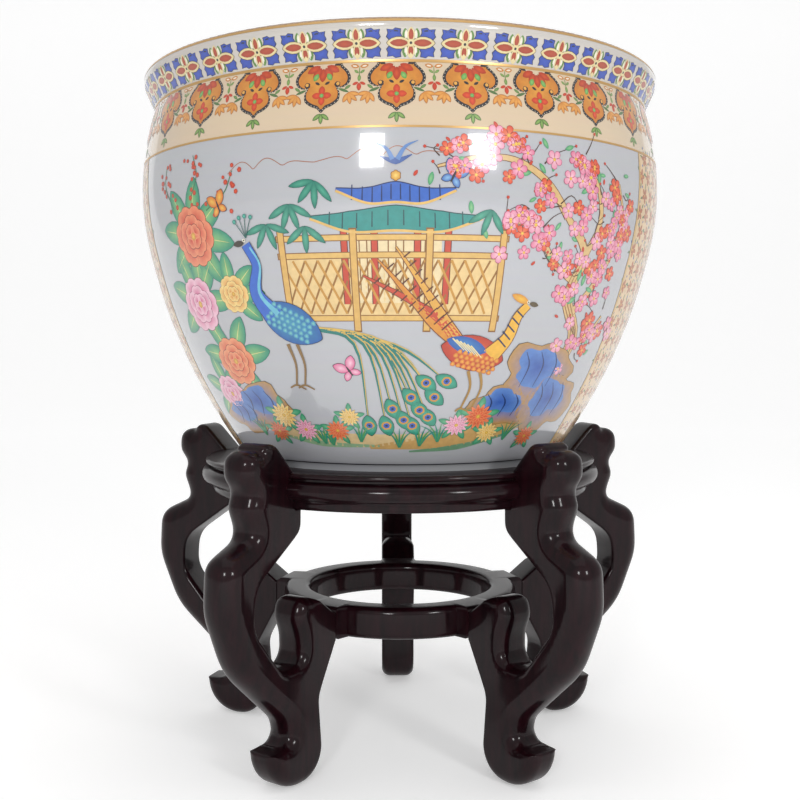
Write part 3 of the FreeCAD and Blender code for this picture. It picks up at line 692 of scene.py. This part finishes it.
height = np.linspace(STRIP_FOOT, STRIP_TOP, GROUND_ROWS)
for start, end in STRIPS:
    x, z = np.meshgrid(np.radians(np.linspace(start, end, GROUND_COLUMNS)) * GIRTH_R, height)
    i, j = np.meshgrid(np.arange(GROUND_ROWS - 1), np.arange(GROUND_COLUMNS - 1), indexing="ij")
    a = (i * GROUND_COLUMNS + j).ravel()
    b = a + GROUND_COLUMNS
    ground = np.vstack([np.stack([a, a + 1, b + 1], 1), np.stack([a, b + 1, b], 1)])
    coats.append((x.ravel(), z.ravel(), 0, np.tile(linear("#E2C193"), (x.size, 1)), ground))
    column, row = np.meshgrid(np.arange(FLOWER_COLUMNS), np.arange(FLOWER_ROWS))
    z = 243 + FLOWER_STEP * row
    share = (column + 0.5 + 0.25 * (-1.0) ** row) / FLOWER_COLUMNS
    x = np.radians(start + (end - start) * share) * GIRTH_R
    size = np.interp(z, wall_z, wall_r) / FLOWERS_R
    flowers = np.stack([x, z, 30.0 * ((column + row) % 3), size], -1).reshape(-1, 4)
    stamp(leaf(5.4, 3.2, 10), ring_of(flowers, 5, 3.2), "#C9702C", "#9A4A20", 1)
    stamp(rosette(1.4, 5, 0.2, 10), flowers, "#E8B34C", "#D0903A", 2)
    stamp(leaf(4.6, 1.9, 8), ring_of(flowers, 3, 7.0, 18), "#6F8A4A", "#4F6E3E", 1)
    stamp(rosette(1.1, 4, 0.2, 8), ring_of(flowers, 2, 8.2, 75), "#3E5FA8", "#2E4A90", 1)
    for edge in (start, end):
        x = math.radians(edge) * GIRTH_R
        line = [(x, STRIP_FOOT), (x, (STRIP_FOOT + STRIP_TOP) / 2), (x, STRIP_TOP)]
        bordered(line, [1.5, 1.5], "#A87838", "#E3C07A", 3, 24, 1.1)
lay_on("side_strip_enamels")

# ---- Gold and black lines: gold banded on the wheel on the neck line, under the medallions and
# ---- on the lip, and a fine black enamel line above the white foot.
LINE_LIFT = 0.15  # mm above the glaze
for name, low, high, paint in (
    ("gold_neck_line", 496.7, 498.5, gilding), ("gold_shoulder_line", 454.2, 455.6, gilding),
    ("gold_lip_line", 520.2, 521.8, gilding), ("black_foot_line", 232.5, 233.3, enamel),
):
    z = np.linspace(low, high, 3)
    points, faces = turned(np.stack([np.interp(z, wall_z, wall_r) + LINE_LIFT, z], 1), BOWL_STEPS)
    line = new_object(name, points, faces, paint)
    tints = line.data.color_attributes.new(name="enamel", type="FLOAT_COLOR", domain="POINT")
    tints.data.foreach_set("color", np.tile(linear("#2A2A2E"), (len(points), 1)).ravel())
    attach(line, "bowl")

# ---- The two pictures: a garden with a pavilion, a lattice fence, a blossom tree, peonies, blue
# ---- rocks, a peacock and a golden pheasant, enamelled on the white ground in front and again
# ---- behind. Each function paints one motif about the canvas place x = cx.
PICTURE_MIDDLES = (-14, math.radians(174.5) * GIRTH_R)  # canvas x, in front and behind
BAMBOO, BAMBOO_LINE = "#E2B868", "#8A5C24"
BUD, ORANGE = ("#D9462A", "#B8341E"), ("#F0905E", "#D9482A")
YELLOW, PINK = ("#F6E09A", "#E8A83C"), ("#F6C8D8", "#DE6A98")
dice = np.random.default_rng(11)


def outlined(outline, places, inner, outer, edge, layer, rim=0.35):
    """A stamp with a thin line of another colour, rim mm wide, showing all round it."""
    outline = np.asarray(outline, float)
    grown = 1 + rim / np.hypot(*outline.T).mean()
    stamp(outline * grown, places, edge, edge, layer)
    stamp(outline, places, inner, outer, layer + 1)


def bough(points, widths, layer):
    """A branch: a light brown line over a dark one."""
    bordered(points, widths, "#7A4E28", "#D9B67C", layer)


def scattered(points, share, spread, step):
    """Places along a curve past a share of its length, thrown off it by a spread in mm.

    Every step-th point of the curve gets one, at a random turn and size.
    """
    line = smooth_curve(points, 8)[::step]
    line = line[int(len(line) * share) :]
    x, z = (line + dice.normal(0, spread, line.shape)).T
    return np.stack([x, z, dice.uniform(0, 360, len(x)), dice.uniform(0.8, 1.15, len(x))], 1)


def blossoms(places, inner, outer, edge, layer):
    """Five-petalled tree blossoms, 5.6 mm in radius, with veins and a yellow eye."""
    outlined(rosette(5.6, 5, 0.42), places, inner, outer, edge, layer, 0.3)
    stamp(leaf(2.8, 0.5, 8), ring_of(places, 5, 5.6 * 0.42), edge, edge, layer + 2)
    stamp(rosette(1.15, 5, 0.1, 10), places, "#F2D25A", "#E0A83A", layer + 3)


def peony(x, z, size, light, dark, edge, layer):
    """A peony: three whorls of rounded petals, each darker towards the heart."""
    for count, away, length, turn in ((6, 8.6, 14.0, 0), (5, 5.4, 11.0, 20), (4, 2.8, 7.6, 45)):
        petals = ring_of([(x, z, turn, size)], count, away)
        outlined(rosette(length * 0.5, 3, 0.22, 22), petals, dark, light, edge, layer, 0.3)
        layer += 2
    stamp(rosette(2.0, 6, 0.3, 14), [(x, z, 0, size)], "#F0C850", "#D08A2C", layer)


def leaf_place(x, z, away, turn):
    """The place of a leaf whose middle is away mm from (x, z) towards a turn in degrees."""
    a = math.radians(turn)
    return [(*laid(x, z, away * math.cos(a), away * math.sin(a)), turn, 1)]


def big_leaves(x, z, turns, length, layer):
    """Broad leaves round a flower, green at the edge and yellow-green along the rib."""
    for turn in turns:
        spot = leaf_place(x, z, 0.62 * length, turn)
        outlined(leaf(length, length * 0.46, 20), spot, "#8CC47A", "#1F8F74", "#12584C", layer)
        stamp(leaf(length * 0.8, 0.7, 10), spot, "#E6DFA0", "#C8CC7A", layer + 2)


def bird_eye(x, z, layer):
    """A black pupil in a cream ring."""
    stamp(rosette(1.2, 4, 0.1, 12), [(x, z, 0, 1)], "#F6F0D8", "#F6F0D8", layer)
    stamp(rosette(0.6, 4, 0.1, 10), [(x, z, 0, 1)], "#181818", "#181818", layer + 1)


def at(cx, *points):
    """Canvas points of a picture whose middle is at cx."""
    return [(cx + x, z) for x, z in points]


def banks(cx):
    """Banks of ochre and green ground along the bottom."""
    for points, widths, colour in (
        (((-150, 262), (-90, 254), (-20, 251), (40, 255)), (2, 10, 12, 3), "#D9BE8E"),
        (((-20, 246), (40, 250), (110, 258), (165, 272)), (3, 12, 14, 4), "#C9A265"),
        (((-120, 254), (-70, 248), (-10, 247)), (1.5, 5, 2), "#8FB08A"),
        (((20, 243), (70, 246), (120, 254)), (1.5, 5, 2), "#6F9A78"),
    ):
        stroke(at(cx, *points), widths, colour, 0, 10)


def pavilion(cx):
    """A garden pavilion: two tiled roofs on red posts."""
    stroke(at(cx, (-22, 366), (8, 366), (38, 366)), (44, 44), "#EBD6A8", 0, 10)
    for x in (-26, -6, 22, 42):
        post = at(cx, (x, 344), (x, 368), (x, 392))
        bordered(post, (3.6, 3.6), "#5E1C14", "#C8442A", 1, 6, 1.2)
    for x in (-16, -11, 3, 8, 13, 27, 32):
        stroke(at(cx, (x, 352), (x, 386)), (0.8, 0.8), BAMBOO_LINE, 1, 5)
    for points, widths, dark, light in (
        (
            ((-48, 399), (-22, 396), (8, 398), (38, 396), (64, 399)), (1, 12, 15, 12, 1),
            "#124A4C", "#2A8F88",
        ),
        (
            ((-30, 416), (-10, 412), (8, 414), (26, 412), (46, 416)), (1, 9, 12, 9, 1),
            "#1A2C60", "#3A68C0",
        ),
    ):
        bordered(at(cx, *points), widths, dark, light, 3, 8, 1.4)
        for x, z in smooth_curve(points, 6)[3:-3:2]:
            stroke(at(cx, (x, z - 4.5), (x + 0.02 * (8 - x), z + 5)), (0.9, 0.7), dark, 5, 3)
        eave = [(x, z - width / 2 - 0.4) for (x, z), width in zip(points, widths)]
        stroke(at(cx, *eave), (1.6, 1.6), BAMBOO, 6, 8)
    finial = rosette(3.2, 6, 0.15, 18)
    outlined(finial, [(cx + 8, 424, 0, 1)], "#F2D06A", "#D0902C", "#6A4420", 5)


def lattice_fence(cx):
    """A lattice fence of split bamboo across the middle."""
    stroke(at(cx, (-72, 355), (0, 355), (82, 355)), (38, 38), "#E9C98C", 0, 12)
    for k in range(16):
        x = -72 + 9 * k
        stroke(at(cx, (x, 338), (x + 18, 372)), (1.3, 1.3), "#9A6A28", 3, 4)
        stroke(at(cx, (x + 18, 338), (x, 372)), (1.6, 1.6), "#C8923C", 3.5, 4)
    for z in (335, 375, 386):
        stroke(at(cx, (-74, z), (0, z), (84, z)), (4.4, 4.4), BAMBOO_LINE, 3, 12)
        stroke(at(cx, (-73, z), (0, z), (83, z)), (3.2, 3.2), BAMBOO, 4, 12)
    for x in (-70, -20, 30, 80):
        stroke(at(cx, (x, 326), (x, 358), (x, 392)), (5.2, 5.2), BAMBOO_LINE, 5, 6)
        stroke(at(cx, (x, 327), (x, 358), (x, 391)), (3.8, 3.8), "#DDB060", 6, 6)


def bamboo_leaves(cx):
    """Sprays of bamboo leaves over the fence."""
    for x, z, turns in (
        (-62, 408, (-150, -110, -70, -30)), (-80, 396, (-160, -120, -70, -20)),
        (-52, 394, (-140, -90, -40)), (70, 404, (-150, -110, -60)),
        (-44, 422, (-170, -130, -90, -50)),
    ):
        for turn in turns:
            spot = leaf_place(cx + x, z, 9, turn)
            outlined(leaf(17, 4.6), spot, "#4FA88C", "#1F7A68", "#0F4A44", 8, 0.3)


def blossom_tree(cx):
    """A blossom tree on the right: boughs, twigs, blossoms in three colours, buds and leaves."""
    trunk = ((158, 262), (150, 292), (160, 322), (141, 350), (150, 378), (128, 402))
    limbs = (
        ((150, 340), (166, 358), (180, 380), (186, 404), (178, 428)),
        ((145, 360), (122, 372), (104, 392), (84, 398)),
        ((128, 402), (108, 424), (84, 436), (58, 436), (34, 430)),
        ((150, 378), (160, 400), (154, 424), (140, 438)),
        ((156, 318), (176, 322), (190, 338)),
    )
    bough(at(cx, *trunk), (13, 11, 9, 8, 7, 4), 5)
    for limb in limbs:
        bough(at(cx, *limb), (5.5, 4, 3, 1.2), 5)
    for limb in limbs:
        for x, z in scattered(at(cx, *limb), 0.0, 4.0, 2)[:, :2]:
            tip = (x + dice.normal(0, 10), z + dice.normal(5, 7))
            bend = ((x + tip[0]) / 2 + dice.normal(0, 2), (z + tip[1]) / 2 + dice.normal(0, 2))
            stroke(((x, z), bend, tip), (1.0, 0.6, 0.4), "#4A3020", 7, 3)
            stamp(rosette(1.2, 5, 0.2, 10), [(*tip, 0, 1)], *BUD, 8)
    for dx in (-3, 0, 3):
        stroke([(cx + x + dx, z) for x, z in trunk[:5]], (0.5, 0.9, 0.5), "#9A6A38", 8)
    for share, spread, colours in (
        (0.15, 9.0, ("#F2B8C8", "#E07A9A", "#A83A5E")),
        (0.25, 8.0, ("#F08A5E", "#D9462A", "#8E2A18")),
        (0.1, 10.0, ("#F6CCD6", "#E894AE", "#B04A6E")),
    ):
        for limb in limbs:
            blossoms(scattered(at(cx, *limb), share, spread, 3), *colours, 9)
    for limb in limbs:
        buds = scattered(at(cx, *limb), 0.0, 13.0, 5)
        stamp(leaf(4.6, 2.4), buds, *BUD, 8)
        green = scattered(at(cx, *limb), 0.0, 12.0, 4)
        stamp(leaf(7.5, 3.2), green, "#8CC48A", "#3F9A6A", 8)


def peonies(cx):
    """Peonies on the left, over broad leaves."""
    for x, z, turns, length in (
        (-148, 392, (-10, 35, 80, 125, 170, 215, 260, 305), 36),
        (-160, 348, (0, 50, 110, 160, 215, 290), 34), (-138, 308, (10, 60, 120, 170, 230, 300), 32),
        (-166, 284, (40, 100, 160, 220, 280, 330), 28), (-120, 352, (-40, 0, 40, 90), 26),
    ):
        big_leaves(cx + x, z, turns, length, 4)
    for x, z, size, light, dark, edge in (
        (-148, 392, 1.45, "#F2946A", "#D23A20", "#7E2414"),
        (-160, 346, 1.35, "#F6C8D8", "#D85A90", "#983260"),
        (-138, 306, 1.25, "#F2A070", "#DA4A26", "#7E2414"),
        (-164, 282, 1.05, "#F6C8D8", "#DE6A98", "#983260"),
        (-118, 352, 0.9, "#F6D88A", "#E0903A", "#8A5420"),
    ):
        peony(cx + x, z, size, light, dark, edge, 8)
    for stem in (
        ((-146, 416), (-138, 432), (-142, 446)), ((-168, 412), (-178, 428), (-176, 442)),
        ((-130, 408), (-112, 418), (-104, 432)),
    ):
        stroke(at(cx, *stem), (1.0, 0.6), "#3F7A52", 6)
        berries = scattered(at(cx, *stem), 0.1, 5.0, 1)
        stamp(rosette(1.7, 5, 0.2, 12), berries, "#E0562E", "#B8341E", 8)


def rocks(cx):
    """Blue rocks with ochre feet, low down at both sides."""
    t = np.linspace(0, 2 * math.pi, 36, endpoint=False)
    for x, z, w, h, seed in (
        (134, 298, 30, 24, 1), (160, 276, 28, 24, 2), (106, 274, 28, 16, 3), (-128, 274, 28, 18, 4),
        (-156, 266, 24, 14, 5),
    ):
        wobble = 1 + 0.12 * np.sin(3 * t + seed)
        wobble += 0.08 * np.sin(5 * t + 2 * seed) + 0.05 * np.sin(9 * t + seed)
        rock = np.stack([w * wobble * np.cos(t), h * wobble * np.sin(t)], 1)
        outlined(rock, [(cx + x, z, 0, 1)], "#4A78C4", "#B98E50", "#5A4A30", 9, 0.5)
        stamp(rock * 0.62, [(cx + x - 3, z + 4, 0, 1)], "#2F56A8", "#5B86C8", 11)
        for k in (-0.5, 0.0, 0.5):
            mid = x + w * k
            crack = at(cx, (mid - 4, z + h * 0.62), (mid + 2, z + h * 0.2), (mid - 2, z - h * 0.4))
            stroke(crack, (0.4, 1.3, 0.4), "#1E3468", 12)


def peacock(cx):
    """A peacock left of the middle, its train sweeping down to the right."""
    plumes = (
        (-2, 262), (14, 266), (28, 273), (40, 282), (49, 293), (-18, 262), (22, 262), (36, 268),
        (4, 274), (20, 282), (32, 292),
    )
    for k, (x, z) in enumerate(plumes):
        bend = (-44 + 0.45 * (x + 62), 318 - 0.2 * (k % 5))
        stroke(at(cx, (-64, 330), bend, (x, z)), (3.0, 2.2, 1.2), "#1F7A70", 12)
        quill = at(cx, (-64, 331), (bend[0] + 1, bend[1] + 1), (x, z))
        stroke(quill, (0.7, 0.7, 0.5), "#D8B458", 13)
        turn = math.degrees(math.atan2(z - bend[1], x - bend[0]))
        spot = [(cx + x, z, turn, 1)]
        outlined(leaf(17, 10, 20), spot, "#4FB89A", "#1F8A70", "#124A44", 14, 0.4)
        stamp(rosette(3.6, 6, 0.1, 16), spot, "#E8C050", "#C98A30", 16)
        stamp(rosette(2.3, 6, 0.1, 14), spot, "#3F6FD0", "#2A4FA8", 17)
        stamp(rosette(1.0, 6, 0.1, 10), spot, "#141A38", "#141A38", 18)
    body = [(cx - 72, 332, 152, 1)]
    outlined(leaf(48, 27, 28), body, "#3F9AB0", "#1F5FA8", "#12305A", 19, 0.5)
    for row in range(5):
        scales = np.linspace(-15, 15, 8) + 1.5 * (row % 2)
        line = beside(body, scales, -7.5 + 3.6 * row, 90)
        stamp(rosette(2.1, 3, 0.2, 12), line, "#7FD0C0", "#2F7FB8", 21)
    neck = at(cx, (-84, 336), (-96, 352), (-92, 370), (-98, 384))
    bordered(neck, (16, 10, 6.6, 7), "#122A56", "#2F66C8", 20, 8)
    sheen = at(cx, (-81, 338), (-93, 352), (-89, 370), (-95, 382))
    stroke(sheen, (4, 2.4, 1.6, 1.4), "#6FC0D8", 22, 8)
    stamp(leaf(9, 4.2), [(cx - 104, 384.5, 188, 1)], "#3A3226", "#3A3226", 22)
    bird_eye(cx - 99, 386.5, 23)
    for turn in (70, 90, 110, 130):
        a = math.radians(turn)
        tip = (-96 + 14 * math.cos(a), 388 + 14 * math.sin(a))
        stroke(at(cx, (-97, 388), tip), (0.7, 0.5), "#1F5F58", 22, 3)
        stamp(rosette(1.6, 5, 0.1, 12), [(cx + tip[0], tip[1], 0, 1)], "#5FC0A8", "#1F7A70", 23)
    for x in (-78, -70):
        stroke(at(cx, (x, 318), (x + 3, 304), (x - 1, 290)), (2.6, 1.6, 1.4), "#8A6A3A", 18)
        stroke(at(cx, (x - 8, 288), (x - 1, 290), (x + 7, 287)), (1.2, 1.6, 1.0), "#8A6A3A", 18)


def pheasant(cx):
    """A golden pheasant right of the middle, walking to the right."""
    tail = ((-4, 372, "#D9902F"), (-14, 362, "#C9482A"), (8, 380, "#E0A848"))
    for k, (x, z, colour) in enumerate(tail):
        plume = at(cx, (56, 318), (32 + 3 * k, 334 + 3 * k), (x, z))
        stroke(plume, (10, 7, 1.5), "#7A3A1C", 16, 8)
        stroke(plume, (8.6, 5.6, 0.8), colour, 17, 8)
        for share in np.linspace(0.15, 0.9, 9):
            px, pz = (1 - share) * 50 + share * x + 3, (1 - share) * 322 + share * z + 1
            stroke(at(cx, (px - 2.2, pz - 1.8), (px + 2.2, pz + 1.8)), (0.9, 0.9), "#5A2A18", 18, 3)
    outlined(leaf(46, 25, 28), [(cx + 68, 312, -14, 1)], "#E2682E", "#B83420", "#5E1C14", 19, 0.5)
    stamp(leaf(30, 12, 20), [(cx + 62, 317, -18, 1)], "#3F8AC8", "#2A5AA8", 21)
    for row in range(4):
        scales = np.linspace(-14, 14, 8) + 1.8 * (row % 2)
        line = beside([(cx + 70, 308, -14, 1)], scales, -7 + 3.2 * row, -90)
        stamp(rosette(1.9, 3, 0.2, 12), line, "#F0B040", "#D0702A", 22)
    for k in range(6):
        stroke(at(cx, (50 + 3 * k, 322 - k), (60 + 3 * k, 314 - k)), (1.0, 0.6), "#E8D8A0", 23, 3)
    neck = at(cx, (82, 310), (94, 322), (99, 336), (106, 344))
    bordered(neck, (12.8, 8.8, 6.3, 5.3), "#6A3A14", "#EDB53C", 20, 8, 1.2)
    for k in range(5):
        bar = at(cx, (86 + 3 * k, 322 + 4.5 * k), (94 + 2.5 * k, 316 + 5 * k))
        stroke(bar, (1.2, 1.0), "#1F2A50", 22, 3)
    stamp(leaf(15, 5.5), [(cx + 99, 348, 158, 1)], "#F2C040", "#D9902F", 22)
    stamp(leaf(7.5, 3.4), [(cx + 111, 344.5, -12, 1)], "#5A4A2A", "#5A4A2A", 22)
    bird_eye(cx + 106, 346, 24)
    for x in (66, 76):
        stroke(at(cx, (x, 300), (x + 4, 288), (x - 1, 274)), (2.4, 1.6, 1.4), "#A8803A", 18)
        stroke(at(cx, (x - 6, 272), (x - 1, 274), (x + 9, 271)), (1.2, 1.6, 1.0), "#A8803A", 18)


def chrysanthemums(cx):
    """Chrysanthemums and tufts of grass along the bottom."""
    for x, z, size, (light, dark) in (
        (-104, 268, 1.0, YELLOW), (-84, 258, 0.85, PINK), (-118, 256, 0.8, ORANGE),
        (-50, 258, 0.8, ORANGE), (64, 262, 0.85, ("#F6C8D8", "#E27AA2")), (84, 268, 1.0, ORANGE),
        (98, 256, 0.8, YELLOW), (148, 252, 0.8, ORANGE), (-36, 268, 0.7, YELLOW),
    ):
        spot = [(cx + x, z, 0, size)]
        stamp(leaf(13, 5.6), ring_of(spot, 5, 10, 15), "#6FB88A", "#2F8F6A", 17)
        outlined(leaf(9.6, 3.0), ring_of(spot, 14, 5.6), dark, light, "#9A4A20", 19, 0.25)
        outlined(leaf(6.0, 2.4), ring_of(spot, 10, 3.2, 18), dark, light, "#9A4A20", 21, 0.25)
        stamp(rosette(1.8, 6, 0.2, 12), spot, "#F2D25A", "#D0902C", 23)
    for x, z, lean in (
        (-66, 248, -1), (-58, 247, 0), (-28, 250, 1), (48, 250, -1), (120, 250, 1), (-140, 252, -1),
        (10, 246, 0), (30, 247, 1),
    ):
        for k in (-2, -1, 0, 1, 2):
            tip = (x + 6.5 * k + 5 * lean, z + 14 - abs(k))
            blade = at(cx, (x, z), (x + 3 * k + 2 * lean, z + 8), tip)
            stroke(blade, (1.6, 1.1, 0.3), ("#2F8F7A", "#5A9A58")[k % 2], 17, 4)


def sky(cx):
    """Butterflies, a swallow and a thin brown cloud line."""
    for x, z, turn, (light, dark) in (
        (-118, 410, 20, ("#F0C050", "#D9702A")), (44, 424, -25, ("#8FC0E8", "#3F66B0")),
        (-30, 300, 30, PINK),
    ):
        spot = [(cx + x, z, turn, 1)]
        for toward, length in ((50, 11), (130, 11), (-40, 7.5), (-140, 7.5)):
            wing = ring_of(spot, 1, length * 0.55, toward)
            outlined(leaf(length, length * 0.62, 18), wing, light, dark, "#2A2A2E", 9)
        stamp(leaf(9, 1.5), beside(spot, 0, 0, 90), "#2A2A2E", "#2A2A2E", 12)
    stroke(at(cx, (-2, 436), (8, 433), (18, 437)), (0.6, 4.4, 0.6), "#3F5FA0", 9, 5)
    stroke(at(cx, (6, 434), (2, 441), (-6, 445)), (3.2, 2.0, 0.3), "#5F86C0", 10, 4)
    stroke(at(cx, (9, 434), (14, 442), (22, 446)), (3.2, 2.0, 0.3), "#5F86C0", 10, 4)
    scallop = np.linspace(0, 1, 73)
    puffs = np.abs(np.sin(scallop * math.pi * 7)) * (4 + 3 * np.sin(scallop * 11))
    cloud_line = np.stack([cx - 108 + 150 * scallop, 430 + 8 * scallop + puffs], 1)
    stroke(cloud_line, (0.5, 0.5), "#A86A4A", 0, 2)


for name, cx in zip(("front_picture_enamels", "back_picture_enamels"), PICTURE_MIDDLES):
    for motif in (
        banks, pavilion, lattice_fence, bamboo_leaves, blossom_tree, peonies, rocks, peacock,
        pheasant, chrysanthemums, sky,
    ):
        motif(cx)
    lay_on(name)

# ---- Stage, light and camera: matt white paper swept up behind, a pale room, two tall windows
# ---- in front with a brighter pane in each, and a weak light overhead. The camera stands where
# ---- the photograph's perspective puts it.
PAPER_HALF = 5000.0  # mm to each side
# Matt paper: no highlight, and a weak glow of its own, so that it stays pale behind the object.
paper, tree, shader = new_material("pale_studio_paper")
wire(shader, Base_Color=linear("#F4F4F4"), Roughness=0.9)
wire(shader, Emission_Color=linear("#FFFFFF"), Emission_Strength=0.28)
# the sweep from the side, (y, z) in metres: floor, quarter round of 2 m, back wall
sweep = np.vstack([[(-3.0, 0.0)], arc_points((3.0, 2.0), 2.0, -90, 0, 13), [(5.0, 6.0)]]) * 1000
across = np.array([-PAPER_HALF, PAPER_HALF])
grid = np.stack(np.broadcast_arrays(across[:, None], sweep[None, :, 0], sweep[None, :, 1]), -1)
n = len(sweep)
j = np.arange(n - 1)
faces = np.stack([j, j + n, j + n + 1, j + 1], 1)
floor = new_object("studio_floor", grid.reshape(-1, 3), faces, paper)

world = bpy.data.worlds.new("studio")
bpy.context.scene.world = world
world.use_nodes = True
wire(world.node_tree.nodes["Background"], Color=linear("#FFFFFF"), Strength=0.62)

AIM_HEIGHT = 0.4  # metres: the bowl's shoulder


def softbox(name, azimuth, elevation, distance, width, height, power):
    """A rectangular light aimed at the bowl's shoulder.

    It stands at distance * (sin a cos e, -cos a cos e, sin e) from there, azimuth a from the
    front and elevation e, both in degrees.
    """
    light = bpy.data.lights.new(name, "AREA")
    light.shape = "RECTANGLE"
    light.size, light.size_y, light.energy = width, height, power
    obj = bpy.data.objects.new(name, light)
    a, e = math.radians(azimuth), math.radians(elevation)
    level, raised = distance * math.cos(e), distance * math.sin(e)
    obj.location = (level * math.sin(a), -level * math.cos(a), AIM_HEIGHT + raised)
    obj.rotation_euler = (math.pi / 2 - e, 0, a)
    bpy.context.scene.collection.objects.link(obj)


# name, azimuth, elevation, then distance, width and height in metres, and watts
softbox("left_window", -12, 13, 2.6, 0.42, 0.62, 11)
softbox("right_window", 32, 13, 2.6, 0.48, 0.62, 11)
softbox("left_pane", -12, 13, 2.55, 0.18, 0.34, 5)
softbox("right_pane", 32, 13, 2.55, 0.20, 0.34, 5)
softbox("overhead", 0, 80, 2.2, 2.4, 2.4, 8)

SENSOR, FRAME_PIXELS, FOCAL_PIXELS = 36, 800, 1092  # sensor in mm
TILT, PAN = 0.051, -0.017  # radians down and to the right, from the solved view
camera = bpy.data.cameras.new("photo_angle")
camera.sensor_width = SENSOR
camera.lens = SENSOR * FOCAL_PIXELS / FRAME_PIXELS
view = bpy.data.objects.new("photo_angle", camera)
view.location = (-0.0152, -0.8959, 0.318)
view.rotation_euler = (math.pi / 2 - TILT, 0, PAN)
bpy.context.scene.collection.objects.link(view)
bpy.context.scene.camera = view
bpy.context.scene.view_settings.view_transform = "Standard"
